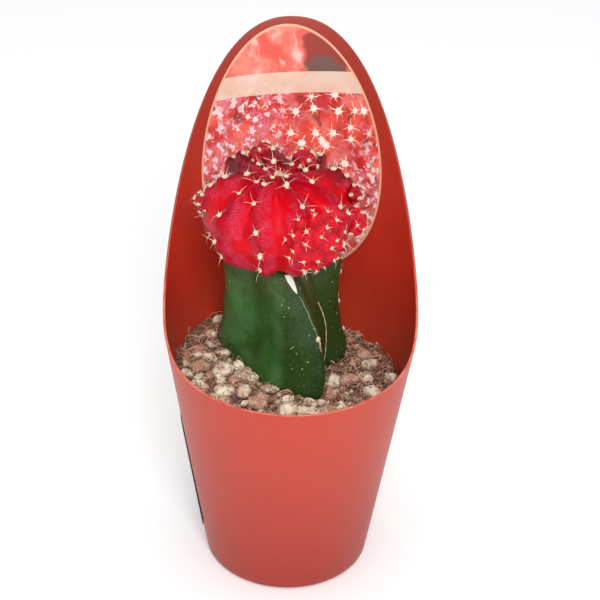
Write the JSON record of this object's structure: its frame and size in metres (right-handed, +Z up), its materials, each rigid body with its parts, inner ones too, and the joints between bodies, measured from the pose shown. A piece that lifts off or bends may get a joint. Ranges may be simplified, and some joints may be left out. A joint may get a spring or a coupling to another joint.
{
  "type": "potted round cactus",
  "caption": "Grafted round cactus with a red ribbed head on a green three-winged stem, in a tapered pot whose back rises into a tall tongue with an oval label.",
  "frame": {"origin": "centre of the underside of the pot", "axes": "+Z up, out of the pot's mouth; +Y towards the pot's tall back; +X to the right as seen from the front"},
  "size_m": [0.0602, 0.0681, 0.1249],
  "materials": {
    "pot_plastic": "satin terracotta-coloured moulded plastic",
    "picture_print": "printed and varnished paper",
    "care_print": null,
    "potting_mix": "loose reddish-brown coir fibre",
    "green_skin": "waxy dark green skin",
    "red_skin": "waxy red skin with a fine pale speckle",
    "offset_skin": "waxy bright red skin",
    "pumice": "rough porous pale stone",
    "bark": "rough reddish bark"
  },
  "bodies": {
    "root": {"pot": "pot_plastic", "picture_label": "picture_print", "care_label": "care_print", "potting_mix": "potting_mix", "rootstock": "green_skin", "scion": "red_skin", "offset_front": "offset_skin", "offset_right": "offset_skin", "offset_right_upper": "offset_skin", "offset_left": "offset_skin", "offset_crown_left": "offset_skin", "offset_crown_right": "offset_skin", "pumice_01": "pumice", "pumice_02": "pumice", "pumice_03": "pumice", "pumice_04": "pumice", "pumice_05": "pumice", "pumice_06": "pumice", "pumice_07": "pumice", "pumice_08": "pumice", "pumice_09": "pumice", "pumice_10": "pumice", "pumice_11": "pumice", "pumice_12": "pumice", "pumice_13": "pumice", "pumice_14": "pumice", "pumice_15": "pumice", "pumice_16": "pumice", "pumice_17": "pumice", "pumice_18": "pumice", "pumice_19": "pumice", "bark_chip_01": "bark", "bark_chip_02": "bark", "bark_chip_03": "bark", "bark_chip_04": "bark", "bark_chip_05": "bark", "bark_chip_06": "bark", "bark_chip_07": "bark", "bark_chip_08": "bark", "bark_chip_09": "bark"}
  },
  "joints": []
}
